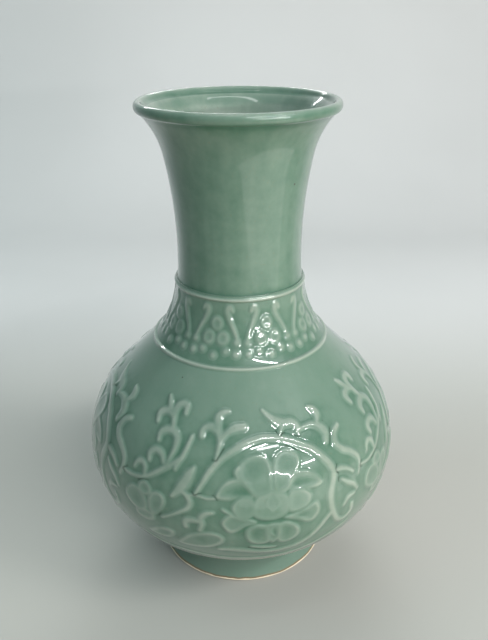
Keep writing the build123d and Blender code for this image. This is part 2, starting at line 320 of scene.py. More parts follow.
# %% The full peony
draw_sprig(
    belly,
    "peony",
    petals=[
        # the two tall petals at the top
        ([(-0.8, 24.6), (-1.4, 29), (-0.2, 33), (2.8, 35.2), (6, 36), (8.6, 34.4), (10, 30.6),
          (10.2, 24), (9.4, 17.6), (4.6, 16), (1.8, 20)], 0.66, (3.8, 29.6, 5.6, 4.8, 0.95)),
        ([(10.4, 24), (10.6, 30), (12, 34.6), (15, 37), (18.4, 36), (20.6, 32.2), (20, 27.6),
          (17.8, 23), (14.6, 17.6), (10.6, 18)], 0.66, (15.6, 31.4, 4.8, 4.8, 0.95)),
        # one at each side, under them
        ([(15, 18.6), (15.8, 23), (18.4, 25.8), (22, 25.4), (26, 22), (27.8, 17.8), (26, 15.8),
          (21.4, 16.6)], 0.7, (20.8, 20.4, 7.6, 3.2, 0.95)),
        ([(-8.5, 15.4), (-7.8, 19.6), (-5, 24), (-1, 25.4), (2.6, 23.6), (4.4, 19), (3, 15.8),
          (-0.8, 16.4), (-4.6, 14.8)], 0.7, (-1, 19.2, 7.4, 3.2, 0.95)),
        # left of the heart, a full one and a low one
        ([(-3.4, 10), (-2.6, 14), (0.2, 16.8), (3.2, 15.8), (4.4, 11), (3.4, 6.4), (0.6, 4.6), (-2, 6)],
         0.78, None),
        ([(-6.8, 1.6), (-5.8, 5.4), (-3.4, 7.4), (-0.4, 5.8), (3.4, 4.4), (4.6, 2.2), (1, 0.6),
          (-2, -2.6), (-4.6, -3.2)], 0.45, None),
        # the heart and the petal at its right
        ([(3.8, 5.6), (3.4, 11), (4.4, 16.4), (7.4, 17.8), (9.6, 20), (12, 17.8), (14.6, 16.4),
          (15.4, 10.4), (14.2, 5.4), (9, 3.2)], 0.8, None),
        ([(15.4, 6.4), (15, 12), (15.6, 17.2), (20, 17.4), (23.2, 13.4), (22.6, 8.6), (20, 6.2)], 0.76,
         (18.4, 11.4, 3.8, 3.8, 0.3)),
        # low at the right
        ([(13.4, 3.6), (18, 1), (21, -1.6), (23.6, -2.2), (25.8, 1.2), (26.2, 5), (24.6, 8.8),
          (21.4, 6.4), (17.4, 4.8)], 0.5, (20.4, 3.2, 4.4, 1.8, 0.5)),
        # the three that hang under the heart
        ([(1.6, -0.6), (0.9, -4.6), (2, -9.6), (5, -12.2), (8.4, -11.4), (9.2, -6.4), (8.6, -0.6),
          (4.8, 1.4)], 0.5, (5, -5, 2.6, 3.6, 0.6)),
        ([(11.6, -0.6), (11.2, -6), (12, -11.6), (15, -13.2), (18.2, -10.8), (19.3, -6.4), (17.8, -2.2),
          (14.4, 1)], 0.5, (15.4, -6, 2.6, 3.6, 0.6)),
        ([(8, 0.6), (7.2, -3.6), (8, -8.2), (10, -12), (12.2, -8.2), (12.9, -3.6), (12, 0.6)], 0.6,
         (10, -5.6, 2.0, 3.0, 0.6)),
    ],
    stems=[
        # the two veins of the heart
        ((0.9, 1.5, 0.9), [(9.8, 7.4), (7.9, 12), (9.4, 18.6)]),
        ((0.9, 1.5, 0.9), [(9.8, 7.4), (12.2, 12), (10, 18.6)]),
        # short marks between the petals
        ((1.8, 2.2, 1.4), [(-1.2, 25.2), (-2, 28), (-1.2, 30.4)]),
        ((1.0, 1.6, 1.0), [(9.6, 0), (9.2, -4), (10.2, -7)]),
        ((1.2, 1.5, 1.0), [(-3.6, 7.4), (-5.6, 9), (-6.6, 10)]),
        ((1.2, 2.2, 1.2), [(3, -14.2), (7, -15.6), (11, -16.6)]),
    ],
)

# %% The half-open flower
draw_sprig(
    belly,
    "peony_bud",
    petals=[
        ([(-32.6, 2), (-32.6, 8), (-30.6, 12.2), (-27.6, 12.4), (-26, 9), (-27, 4.4), (-29.6, -0.4),
          (-31.4, -1.8)], 0.7, (-29.6, 5.6, 2.6, 4.4, 0.5)),
        ([(-42.8, 3), (-42, 8.4), (-39.4, 11.4), (-35.8, 10.4), (-33.6, 6), (-33.2, 1), (-35.4, -2),
          (-39.4, -1.4)], 0.6, (-38, 5, 4.2, 3.8, 0.6)),
        ([(-37, 10.6), (-36.6, 14.2), (-34.4, 16), (-32, 13.8), (-31.4, 10.6), (-34, 8)], 0.7,
         (-34.2, 12, 2, 2, 0.5)),
        ([(-38.4, -3), (-36.4, -0.2), (-33.2, 0.2), (-30.4, -1.6), (-31.4, -5.4), (-35, -7), (-38, -6)],
         0.5, None),
    ],
)

# %% The vine
draw_sprig(
    belly,
    "vine",
    stems=[
        ((1.8, 2.8, 3.2, 3.2, 3.2, 3.4, 3.4), [(-15.5, 16), (-14.5, 19), (-13, 23), (-11, 28), (-8, 33),
          (-5, 36.5), (-2, 39), (1, 41), (4, 42.5), (8, 43.5), (12, 43), (16, 42), (20, 39.5), (23, 37),
          (26, 34.5), (28, 31.5), (30, 28), (32, 24), (33, 20)]),
        ((3.6, 3.8, 3.6, 3.0, 2.6, 2.4, 2.2), [(33, 20.6), (32, 16), (30.9, 11), (30.6, 6), (31.2, 1),
          (32.4, -4), (34.6, -9), (37.8, -11), (40.6, -8), (40.4, -3)]),
        ((2.2, 2.6, 3.4, 3.2, 3.0, 2.0), [(31.2, -1), (28.4, -6), (25.4, -12), (22, -16.6), (18, -19.4),
          (12, -20.6), (5, -19.4), (0, -17.6), (-5, -16.8), (-8, -17.2)]),
        ((1.2, 2.0, 2.0, 2.4, 1.2), [(-38, -21), (-30, -24.6), (-20, -25.4), (-8, -27.4), (4, -28.2),
          (16, -27.6), (26, -24.4), (34, -19.4), (41, -15)]),
    ],
)

# %% The leaves above the vine
draw_sprig(
    belly,
    "leaf_fork",
    stems=[
        ((2.0, 2.2, 3.2, 3.8, 3.2, 2.4), [(-9, 33.4), (-8.6, 37.4), (-8.2, 41.6), (-9, 45.8),
          (-11.2, 48), (-13.8, 48.2), (-15.5, 46.2), (-15.6, 43.4)]),
        ((2.0, 3.4, 3.4, 3.0, 1.6), [(-8.4, 42), (-9.2, 46.4), (-10, 50.4), (-9.7, 53.8), (-7.8, 55.8),
          (-5.6, 56.4)]),
        ((2.0, 2.6, 3.2, 3.8, 3.4), [(-8.6, 39.4), (-7.6, 43.2), (-5.4, 46.4), (-2.4, 48.4),
          (0.8, 49)]),
    ],
)
draw_sprig(
    belly,
    "leaf_crest",
    stems=[
        ((1.4, 2.8, 4.6, 4.4, 3.4, 2.4), [(9.4, 56.6), (11.6, 53.6), (14.4, 50.8), (17.6, 49),
          (21, 48.6), (22.9, 46.6), (22.6, 43.6)]),
        ((1.8, 2.2, 3.0), [(15, 43.6), (15.8, 45.8), (17.2, 48.4)]),
        ((2.0, 2.6, 3.8, 4.2, 2.8), [(23.4, 44.4), (26.6, 45.2), (30, 44.8), (32.8, 42.4), (33.9, 39),
          (33, 35.4)]),
        ((1.2, 3.2, 3.6, 2.2), [(30.9, 53.8), (32.9, 51.8), (33.6, 49), (32.2, 45.6)]),
    ],
)

# %% The leaves at the right
draw_sprig(
    belly,
    "leaf_fall",
    stems=[
        ((2.6, 2.8, 2.4, 2.0), [(33.6, 20.4), (36.4, 20), (39.2, 18), (41.2, 15.4)]),
        ((1.8, 3.0, 2.6, 1.8), [(35.6, 14.6), (38, 11.6), (41, 8.4), (42.6, 5)]),
        ((2.4, 3.6, 3.0, 2.8, 2.2, 1.6), [(40.4, 40), (37.4, 37.4), (36.6, 33), (38.4, 29),
          (41.8, 25.8), (44.6, 21.6), (44.8, 17), (43.6, 12.6)]),
        ((1.6, 2.4, 1.4), [(36.4, -1), (38.4, 2.4), (41.4, 3)]),
    ],
)

# %% The leaves at the left
draw_sprig(
    belly,
    "leaf_column",
    stems=[
        ((1.6, 2.0, 2.4, 2.8, 2.6, 2.4, 2.0), [(-45.4, 16.4), (-40, 16), (-35, 17.8), (-31, 21.4),
          (-27.6, 25.2), (-24.2, 28.6), (-21.6, 32), (-20.8, 35.4), (-20, 39), (-19.4, 42.6)]),
        ((2.2, 3.0, 3.6, 3.6, 2.4), [(-28, 43.6), (-29.2, 48), (-30, 52), (-29.4, 55.2), (-27.4, 56.8),
          (-25.2, 55.8), (-24.8, 52.8)]),
        ((2.6, 3.4, 3.6, 2.2), [(-29.8, 49.8), (-32.4, 51.4), (-35.2, 51), (-36.8, 48.8),
          (-36.1, 45.2)]),
        ((2.2, 3.6, 3.6, 3.4, 2.4, 1.8), [(-32.6, 37), (-32.6, 40.6), (-30.4, 43), (-27.4, 43),
          (-25.2, 40.4), (-25, 35.6), (-26.2, 30), (-27, 26)]),
        ((2.2, 3.2, 3.2, 2.2), [(-34.2, 26.6), (-34.4, 30.2), (-32.2, 32.4), (-29.4, 31),
          (-28.2, 27.6)]),
        ((1.6, 2.6, 2.6, 1.8), [(-39.8, 20.4), (-39, 23.4), (-37, 24.6), (-35.2, 22.8), (-35, 18.4)]),
        ((1.2, 2.6, 3.0, 2.8), [(-36, 59), (-34.4, 56.4), (-32.8, 53.4), (-31, 50.8)]),
        ((2.0, 2.6, 1.6), [(-21.6, 32), (-22.8, 28.8), (-23.4, 26)]),
    ],
)
draw_sprig(
    belly,
    "leaf_curl",
    stems=[
        ((1.8, 4.4, 5.2, 4.2, 2.0), [(-16.6, 28.6), (-18.2, 24.6), (-19.6, 20.4), (-21.4, 16.6),
          (-23.6, 12.8)]),
        ((2.0, 2.6, 2.8, 2.2, 1.6, 1.2), [(-20.6, 16.6), (-18.4, 14.8), (-17.2, 11.6), (-18, 8.2),
          (-20.6, 5.4), (-24, 2), (-27.4, -1)]),
        ((1.2, 1.4, 1.2), [(-18.4, 15), (-15, 15.7), (-11.6, 14.8), (-8.8, 15.2)]),
    ],
)

# %% The leaves below the vine
draw_sprig(
    belly,
    "leaf_low",
    stems=[
        ((1.6, 3.0, 2.8, 2.2), [(-9.6, 7.6), (-12, 6.6), (-13.6, 3.8), (-13.2, 0.4), (-14, -3.6)]),
        ((2.4, 3.2, 2.4), [(-14, 1.8), (-17, 1.8), (-18.8, 0.4), (-18.8, -2.6)]),
    ],
    petals=[
        ([(-22.6, -17.4), (-20, -10.6), (-16, -6.4), (-11, -4.4), (-7.2, -5.8), (-6.2, -9.8), (-9, -14),
          (-14.4, -17.2)], 0.5, (-12.4, -10.4, 5.6, 3.4, 0.8)),
        ([(-35, -16), (-31.4, -11), (-27, -7.8), (-23.6, -8.6), (-24.6, -13), (-29, -16.6)], 0.5,
         (-27.4, -11.6, 3.8, 2.2, 0.7)),
    ],
)

# %% [markdown]
# ## The collar frieze
# Between the two ridges, nine sprays stand side by side. Each has two S-shaped stems that part like the
# arms of a lyre, with a bead at each foot, and a palmette of three round lobes next to them. A row of
# beads runs below. The frieze is easier to set out by height than by rise, so its numbers are heights.

# %% Helpers for the frieze
BEAD_WIDTH = 3.2
BEAD_LENGTH = 0.1
LOBE_POINTS = 8
LOBE_FILL = 0.86
LOBE_HOLLOW = (1.3, 1.3, 0.3)  # two half sizes and a share of the height, as for a petal


def by_height(places):
    """Places as (degrees, rise), from (degrees, height)."""
    return [(angle, rise_at(height)) for angle, height in places]


def bead(angle, height):
    """A round bead, as a very short stem."""
    return (BEAD_WIDTH, BEAD_WIDTH), by_height([(angle, height), (angle, height - BEAD_LENGTH)])


def lobe(angle, height, half_wide, half_high):
    """A round lobe with a thumb mark. half_wide is in degrees and half_high in mm."""
    turns = np.linspace(0, 2 * pi, LOBE_POINTS, endpoint=False)
    places = [(angle + half_wide * cos(turn), height + half_high * sin(turn)) for turn in turns]
    return by_height(places), LOBE_FILL, (angle, rise_at(height), *LOBE_HOLLOW)


# %% The collar spray
LYRE_DEGREES = 1.2
PALMETTE_DEGREES = 21.2
COLLAR_SPRIG_HEIGHT = 0.44
ARM_WIDTHS = (1.8, 2.6, 2.8, 2.6, 2.2, 1.9, 1.6)
ARM = (  # each is degrees from the middle of the lyre, and height
    (7.8, 160.4), (9.2, 161.8), (11.2, 161.6), (11.6, 159.2),
    (9.6, 155.6), (6.8, 152), (4.8, 149), (3.9, 147),
)
BEAD_PAIRS = ((LYRE_DEGREES, 3.9, 145.6), (LYRE_DEGREES, 4.4, 140.6), (PALMETTE_DEGREES, 8.4, 141.8))
LAST_BEAD_HEIGHT = 139.8
LOBES = (  # each is degrees from the middle of the palmette, height and two half sizes
    (-5.4, 147.2, 4.9, 3.4), (5.4, 147.2, 4.9, 3.4), (0, 153.8, 5.2, 3.6),
)

arms = [
    (ARM_WIDTHS, by_height([(LYRE_DEGREES + side * reach, height) for reach, height in ARM]))
    for side in (-1, 1)
]
beads = [bead(middle + side * reach, height) for middle, reach, height in BEAD_PAIRS for side in (-1, 1)]
beads.append(bead(PALMETTE_DEGREES, LAST_BEAD_HEIGHT))
draw_sprig(
    collar,
    "collar_spray",
    stems=arms + beads,
    petals=[lobe(PALMETTE_DEGREES + aside, *rest) for aside, *rest in LOBES],
    height=COLLAR_SPRIG_HEIGHT,
)

# %% [markdown]
# ## Glaze softens everything
# Molten glaze rounds off each edge and fills each corner. A small blur of the heights does the same. Glaze
# also flows level. Its surface is near the mean height of the clay around, so it lies thick where the clay
# is below that mean, and thin where the clay rises through it. Two wider blurs of the heights give the
# mean, one as wide as a stem and one as wide as a petal, and the thickness goes into the meshes as the
# pool: above 0 where glaze has gathered, and below 0 where it has run off.


# %% Blur
BLUR_REACH = 3


def blurred(chart, values, distance):
    """The values averaged over a distance in mm, wrapping round the vase."""
    row_step = chart.rises[1] - chart.rises[0]
    column_step = radians(chart.period / chart.columns) * float(chart.radius.mean())
    for axis, step in ((0, row_step), (1, column_step)):
        reach = max(1, int(BLUR_REACH * distance / step))
        shares = np.exp(-0.5 * (np.arange(-reach, reach + 1) * step / distance) ** 2)
        mixed = np.zeros_like(values)
        for shift, share in zip(range(-reach, reach + 1), shares / shares.sum()):
            mixed += share * np.roll(values, shift, axis=axis)
        values = mixed
    return values


# %% Heights and pool
SOFTENING = 0.45
NEAR_REACH = 1.8
WIDE_REACH = 7.0
NEAR_SHARE = 0.55
WIDE_SHARE = 0.9
RUN_OFF = 1.15
POOL_RANGE = 0.5
SKIN_START = 0.012


def finish_chart(chart):
    """Joins the sprigs of a chart into one height map, with its pool and each point's sprig."""
    heights = np.array([blurred(chart, height_map, SOFTENING) for height_map in chart.sprigs.values()])
    heights = np.maximum(heights - SKIN_START, 0)
    heights[:, [0, -1]] = 0
    chart.height = heights.max(axis=0)
    chart.owner = heights.argmax(axis=0)
    near = blurred(chart, chart.height, NEAR_REACH)
    wide = blurred(chart, chart.height, WIDE_REACH)
    level = NEAR_SHARE * near + WIDE_SHARE * wide
    chart.pool = np.clip((level - RUN_OFF * chart.height) / POOL_RANGE, -1, 1)
    print("Relief of this chart, in mm: up to", chart.height.max().round(2))


finish_chart(belly)
finish_chart(collar)

# %% [markdown]
# ## Meshes for the sprigs
# A sprig's mesh takes the grid squares that belong to it. Its top follows the heights, and its underside
# lies a little inside the wall, so it is closed and sits in the wall with no gap. At its rim the top dips
# just under the wall, and the glaze seems to run on without a step.


# %% Mesh helpers
SHARP_EDGE = radians(40)


def new_mesh_object(name, points, faces, pool, normals=None):
    """A smooth mesh object from points in mm, with the pool as an attribute of its points."""
    mesh = bpy.data.meshes.new(name)
    mesh.from_pydata((np.asarray(points) * MM).tolist(), [], faces)
    mesh.polygons.foreach_set("use_smooth", np.ones(len(mesh.polygons), bool))
    depth = mesh.attributes.new("pool", "FLOAT", "POINT")
    depth.data.foreach_set("value", np.asarray(pool, np.float32))
    if normals is None:
        mesh.set_sharp_from_angle(angle=SHARP_EDGE)
    else:
        mesh.normals_split_custom_set_from_vertices(normals.tolist())
    made = bpy.data.objects.new(name, mesh)
    bpy.context.scene.collection.objects.link(made)
    return made


def place_points(degrees, rise, height):
    """Points in mm, at these places on the wall and this height above it."""
    radius, level, across, up = on_wall(rise)
    reach = radius + across * height
    angle = np.radians(degrees)
    return np.stack([reach * np.sin(angle), -reach * np.cos(angle), level + up * height], axis=-1)


# %% Squares that meet at a corner
FILL_ROUNDS = 6


def fill_corners(cells):
    """Fills a grid square wherever two squares of a piece meet only at a corner."""
    for _ in range(FILL_ROUNDS):
        a, b, c, d = cells[:-1, :-1], cells[:-1, 1:], cells[1:, :-1], cells[1:, 1:]
        rising = a & d & ~b & ~c
        falling = b & c & ~a & ~d
        if not (rising.any() or falling.any()):
            break
        cells[:-1, 1:] |= rising
        cells[:-1, :-1] |= falling
    return cells


# %% A closed shell over some grid squares
def closed_shell(cells):
    """The grid points that these squares use, and the faces of their top, underside and sides.

    The top has one point for each used grid point, and the underside has as many again after them.
    """
    stride = cells.shape[1] + 1
    total = (cells.shape[0] + 1) * stride
    rows, columns = np.nonzero(cells)
    first = rows * stride + columns
    quads = np.stack([first, first + 1, first + stride + 1, first + stride], axis=1)
    edges = np.concatenate([quads[:, [i, (i + 1) % 4]] for i in range(4)])
    forward = edges[:, 0] * total + edges[:, 1]
    backward = edges[:, 1] * total + edges[:, 0]
    used, numbers = np.unique(quads, return_inverse=True)
    count = len(used)
    renumber = np.zeros(total, int)
    renumber[used] = np.arange(count)
    rim = renumber[edges[~np.isin(forward, backward)]]
    quads = numbers.reshape(quads.shape)
    faces = quads.tolist() + (quads[:, ::-1] + count).tolist()
    faces += [[b, a, a + count, b + count] for a, b in rim.tolist()]
    return used, faces


# %% One sprig
UNDERSIDE = -0.35
RIM_DIP = -0.015


def sprig_mesh(chart, index, name, repeat):
    """The mesh of one sprig in one repeat of the pattern."""
    mine = (chart.owner == index) & (chart.height > 0)
    # The chart wraps round, so the middle of the sprig is found on a circle, and the grid is cut opposite.
    weight = np.exp(2j * pi * chart.degrees / chart.period)
    centre = np.angle((mine.sum(axis=0) * weight).sum()) / (2 * pi) * chart.period
    start = int(round((centre - chart.period / 2) / chart.period * chart.columns))
    shifted = start + np.arange(chart.columns)
    order = shifted % chart.columns
    degrees = shifted * chart.period / chart.columns + repeat * chart.period
    height, pool, mine = chart.height[:, order], chart.pool[:, order], mine[:, order]
    used, faces = closed_shell(fill_corners(mine[:-1, :-1] | mine[:-1, 1:] | mine[1:, :-1] | mine[1:, 1:]))

    grid_degrees, grid_rise = np.meshgrid(degrees, chart.rises)
    top = place_points(grid_degrees, grid_rise, np.where(height > 0, height, RIM_DIP))
    under = place_points(grid_degrees, grid_rise, np.full(height.shape, UNDERSIDE))
    normals = np.cross(np.gradient(top, axis=1), np.gradient(top, axis=0))
    normals /= np.linalg.norm(normals, axis=-1, keepdims=True)
    points = np.concatenate([top.reshape(-1, 3)[used], under.reshape(-1, 3)[used]])
    outward = normals.reshape(-1, 3)[used]
    depth = np.tile(pool.ravel()[used], 2)
    return new_mesh_object(name, points, faces, depth, np.concatenate([outward, -outward]))


# %% All the sprigs
sprig_pieces = []
for chart in (belly, collar):
    for index, sprig_name in enumerate(chart.sprigs):
        for repeat in range(chart.repeats):
            cad_name = f"{sprig_name}_{repeat + 1}"
            piece = sprig_mesh(chart, index, "glazed_" + cad_name, repeat)
            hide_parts(cad_name)
            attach(piece, "root")
            sprig_pieces.append(piece)
print(len(sprig_pieces), "sprigs,", sum(len(piece.data.polygons) for piece in sprig_pieces), "faces")

# %% [markdown]
# ## The walls
# The wall sections are turned on a lathe: a loop of (radius, height) points, swept round the axis. They
# carry the pool too, so the glaze is deep beside each stem, on the wall as well as on the sprig. It also
# gathers in the corner at the foot of the collar.


# %% The pool on a wall
WALL_COLUMNS = 720
CORNER_POOL = 0.32
CORNER_REACH = 9.0
wall_degrees = np.arange(WALL_COLUMNS) * 360 / WALL_COLUMNS


def swell(values, middle, reach):
    """1 at a middle value, falling away smoothly over a reach on both sides of it."""
    return np.exp(-(((values - middle) / reach) ** 2))


def pool_round(rise):
    """The pool at one rise, all round, from whichever chart covers it."""
    for chart in (belly, collar):
        row = (rise - chart.rises[0]) / (chart.rises[1] - chart.rises[0])
        if 0 <= row < len(chart.rises) - 1:
            low, part = int(row), row - int(row)
            line = chart.pool[low] * (1 - part) + chart.pool[low + 1] * part
            known = np.append(chart.degrees, chart.period)
            return np.interp(wall_degrees % chart.period, known, np.append(line, line[0]))
    return np.zeros(WALL_COLUMNS)


def wall_levels(rises):
    """The pool of each row of an outer face, with the glaze that gathers above the shoulder ridge."""
    corner = rise_at(SHOULDER_SEAM_HEIGHT)
    gathered = [CORNER_POOL * swell(rise, corner, CORNER_REACH) if rise > corner else 0.0 for rise in rises]
    return [np.clip(pool_round(rise) + extra, -1, 1) for rise, extra in zip(rises, gathered)]


# %% Lathe
def lathe(name, loop, columns, levels):
    """A closed solid of revolution from a loop of (radius, height) in mm, outside up and inside down.

    A loop that starts and ends at radius 0 closes on the axis. levels gives the pool of each loop point,
    as one number or as a number for each column.
    """
    loop = np.array(loop, float)
    solid_core = loop[0, 0] == 0
    rings = loop[1:-1] if solid_core else loop
    levels = levels[1:-1] if solid_core else levels
    angle = np.radians(np.arange(columns) * 360 / columns)
    across = np.outer(rings[:, 0], np.sin(angle))
    along = -np.outer(rings[:, 0], np.cos(angle))
    points = np.stack([across, along, np.repeat(rings[:, 1:], columns, axis=1)], axis=-1).reshape(-1, 3)
    pool = np.concatenate([np.broadcast_to(level, columns) for level in levels])
    here = np.arange(columns)
    after = (here + 1) % columns
    ring_pairs = [(i, i + 1) for i in range(len(rings) - 1)]
    if not solid_core:
        ring_pairs.append((len(rings) - 1, 0))
    faces = []
    for first, second in ring_pairs:
        low, high = first * columns, second * columns
        faces += np.stack([low + here, low + after, high + after, high + here], axis=1).tolist()
    if solid_core:
        bottom, top = len(points), len(points) + 1
        points = np.vstack([points, [0, 0, loop[0, 1]], [0, 0, loop[-1, 1]]])
        pool = np.append(pool, [0, 0])
        last_ring = (len(rings) - 1) * columns
        faces += [[int(b), int(a), bottom] for a, b in zip(here, after)]
        faces += [[int(a) + last_ring, int(b) + last_ring, top] for a, b in zip(here, after)]
    return new_mesh_object(name, points, faces, pool)


# %% Rows up the wall
WALL = 5.0
ROW_STEP = 0.8
INNER_ROW_STEP = 4.0


def wall_rows(low, high, step, depth):
    """(radius, height) and rise of rows up the wall between two heights, this deep inside its face."""
    start, end = rise_at(low), rise_at(high)
    rises = np.linspace(start, end, max(2, int((end - start) / step) + 1))
    radius, height, across, up = on_wall(rises)
    return np.stack([radius - across * depth, height - up * depth], axis=1).tolist(), rises


# %% The lower body, with its floor and the plug that sits in the foot ring
SPIGOT_RADIUS = 41.0
SPIGOT_HEIGHT = 15.0
FLOOR_HEIGHT = 24.0
FLOOR_FLAT_RADIUS = 24.0
BOWL_BOTTOM = 30
FLOOR_SKIP = 8
SPIGOT_RING = 20
FLOOR_RING = 12

inner_bowl, _ = wall_rows(BOWL_BOTTOM, BELLY_HEIGHT, INNER_ROW_STEP, WALL)
into_floor = (inner_bowl[0][0] - inner_bowl[1][0], inner_bowl[0][1] - inner_bowl[1][1])
floor_arc = tangent_arc(inner_bowl[0], into_floor, (FLOOR_FLAT_RADIUS, FLOOR_HEIGHT))
floor = floor_arc[FLOOR_SKIP::FLOOR_SKIP] + [(FLOOR_RING, FLOOR_HEIGHT), (0, FLOOR_HEIGHT)]
outer_bowl, bowl_rises = wall_rows(FOOT_HEIGHT, BELLY_HEIGHT, ROW_STEP, 0)
underside = [(radius, SPIGOT_HEIGHT) for radius in (0, SPIGOT_RING, SPIGOT_RADIUS)]
underside.append((SPIGOT_RADIUS, FOOT_HEIGHT))
lower_wall = lathe(
    "glazed_lower_body",
    underside + outer_bowl + inner_bowl[::-1] + floor,
    WALL_COLUMNS,
    [0] * len(underside) + wall_levels(bowl_rises) + [0] * (len(inner_bowl) + len(floor)),
)
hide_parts("lower_body")
print("The bowl has", len(outer_bowl), "rows outside and", len(inner_bowl), "inside")


# %% The upper body and the collar
def wall_section(name, low, high, cad_node):
    """A wall section that is open at both ends, in place of a CAD node."""
    outer, rises = wall_rows(low, high, ROW_STEP, 0)
    inner, _ = wall_rows(low, high, INNER_ROW_STEP, WALL)
    made = lathe(name, outer + inner[::-1], WALL_COLUMNS, wall_levels(rises) + [0] * len(inner))
    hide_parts(cad_node)
    return made


upper_wall = wall_section("glazed_upper_body", BELLY_HEIGHT, SHOULDER_SEAM_HEIGHT, "upper_body")
collar_wall = wall_section("glazed_collar", SHOULDER_SEAM_HEIGHT, NECK_SEAM[1], "collar")
print("Wall rows hold", WALL_COLUMNS, "points, one for every", 360 / WALL_COLUMNS, "degrees")

# %% [markdown]
# ## The neck
# The neck curves out like a trumpet and ends in a rolled lip. Glaze runs off the top of the lip, so its
# crest is pale, and a drop of it stays in the corner under the roll, where the colour is also darkened with
# painted shade from the lip. It also lies thinner inside, where the vase was only rinsed with it.

# %% The neck's face and lip
NECK_WALL = 4.2
NECK_COVE = (32.2, 169.5)
NECK_WAIST = (31.8, 182.0)
NECK_FLARE = (36.7, 229.5)
LIP_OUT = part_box("neck")[1].x / MM
LIP_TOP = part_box("neck")[1].z / MM
LIP_UNDER = (LIP_OUT - 2.2, LIP_TOP - 5.4)
# each is how far in from the lip's edge, and down from its top
ROLL = ((0.7, 4.6), (0, 2.9), (0.4, 1.0), (1.8, 0), (3.4, 0.6), (4.7, 2.4))
ROLL_PARTS = 6
NECK_SKIP = 4
INSIDE_SKIP = 2


def ending(points):
    """The direction in which a chain of points ends."""
    return points[-1][0] - points[-2][0], points[-1][1] - points[-2][1]


neck_down = tangent_arc(NECK_WAIST, (0, -1), NECK_COVE)
cove = tangent_arc(NECK_COVE, ending(neck_down), NECK_SEAM)
neck_up = tangent_arc(NECK_WAIST, (0, 1), NECK_FLARE)
trumpet = tangent_arc(NECK_FLARE, ending(neck_up), LIP_UNDER)
neck_curve = cove[::-1] + neck_down[::-1][1:] + neck_up[1:] + trumpet[1:]
neck_face = np.array(neck_curve[::NECK_SKIP] + [LIP_UNDER])
neck_slope = np.gradient(neck_face, axis=0)
neck_slope /= np.hypot(neck_slope[:, 0], neck_slope[:, 1])[:, None]
neck_inside = neck_face - NECK_WALL * np.stack([neck_slope[:, 1], -neck_slope[:, 0]], axis=1)
roll_points = [(LIP_OUT - inward, LIP_TOP - down) for inward, down in ROLL]
roll = smooth_path([LIP_UNDER, *roll_points, neck_inside[-3]], parts=ROLL_PARTS)[1:-1]
neck_loop = np.vstack([neck_face, roll, neck_inside[::-1][INSIDE_SKIP::INSIDE_SKIP]])
print("Neck:", len(neck_face), "points outside,", len(roll), "round the lip")

# %% The neck, its pool and the painted shade under the lip
NECK_COLUMNS = 480
NECK_DEPTH = 0.36
BASE_POOL = 0.35
BASE_REACH = 3.5
# the band under the lip roll is partly pooled glaze and partly painted shade: darker colour where the lip
# shades the neck
ROLL_POOL_AND_SHADE = 0.4
ROLL_POOL_AND_SHADE_DROP = 0.6
ROLL_REACH = 1.3
CREST_THINNING = 0.95
CREST_REACH = 1.2
INSIDE_THINNING = 0.8

loop_heights = neck_loop[:, 1]
inside = np.arange(len(neck_loop)) >= len(neck_face) + len(roll)
neck_levels = (
    NECK_DEPTH
    + BASE_POOL * swell(loop_heights, NECK_SEAM[1], BASE_REACH)
    # painted shade: this band under the roll darkens the glaze where the lip's shade falls, on top of the
    # glaze that gathers there
    + ROLL_POOL_AND_SHADE * swell(loop_heights, LIP_UNDER[1] - ROLL_POOL_AND_SHADE_DROP, ROLL_REACH)
    - CREST_THINNING * swell(loop_heights, LIP_TOP, CREST_REACH)
    - INSIDE_THINNING * inside
)
neck_wall = lathe("glazed_neck", neck_loop, NECK_COLUMNS, list(np.clip(neck_levels, -1, 1)))
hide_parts("neck")
print("Pool on the neck from", neck_levels.min().round(2), "to", neck_levels.max().round(2))

# %% [markdown]
# ## The two ridges
# Each ridge is a thin coil of clay over a seam. Under glaze it has a round crest and long soft feet, so
# it is turned from a bell-shaped curve instead of half a circle. Glaze gathers at its feet and leaves its
# crest pale.

# %% Ridges
RIDGE_HEIGHT = 0.85
RIDGE_HALF_WIDTH = 1.9
RIDGE_ROWS = 25
RIDGE_INNER_SKIP = 4
RIDGE_COLUMNS = 360
RIDGE_SHARPNESS = 1.4
RIDGE_FOOT_POOL = 0.25
RIDGE_THINNING = 1.25


def ridge(name, seam_height, cad_node):
    """A soft ring round the wall at a seam, in place of a CAD ring."""
    spread = np.linspace(-1, 1, RIDGE_ROWS)
    wanted = rise_at(seam_height) + spread * RIDGE_HALF_WIDTH
    rises = np.minimum(wanted, rise_along[-1])
    radius, height, across, up = on_wall(rises)
    height = height + wanted - rises  # past the outline's end, the ring goes straight up
    lift = RIDGE_HEIGHT * (0.5 + 0.5 * np.cos(pi * spread)) ** RIDGE_SHARPNESS + 2 * RIM_DIP
    outer, inner = (
        np.stack([radius + across * depth, height + up * depth], axis=1).tolist()
        for depth in (lift, 2 * UNDERSIDE)
    )
    inner = inner[::-RIDGE_INNER_SKIP]
    levels = np.clip(RIDGE_FOOT_POOL - RIDGE_THINNING * lift / RIDGE_HEIGHT, -1, 1).tolist()
    made = lathe(name, outer + inner, RIDGE_COLUMNS, levels + [0] * len(inner))
    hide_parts(cad_node)
    return made


ridges = [
    ridge("glazed_shoulder_ridge", SHOULDER_SEAM_HEIGHT, "shoulder_ridge"),
    ridge("glazed_neck_ridge", NECK_SEAM[1], "neck_ridge"),
]
walls = [lower_wall, upper_wall, collar_wall, neck_wall]
for pieces, slot in ((walls, "celadon_glaze"), (ridges, "relief_glaze")):
    for piece in pieces:
        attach(piece, "root")
        print(piece.name, len(piece.data.polygons), "faces")

# %% [markdown]
# ## Glaze as shader groups
# Three effects make the celadon, and each is a node group that every material uses with its own values:
# the colour by depth, the tiny pits and specks, and the faint waviness of a fired surface.


# %% Groups
FLOAT = "NodeSocketFloat"
COLOUR = "NodeSocketColor"


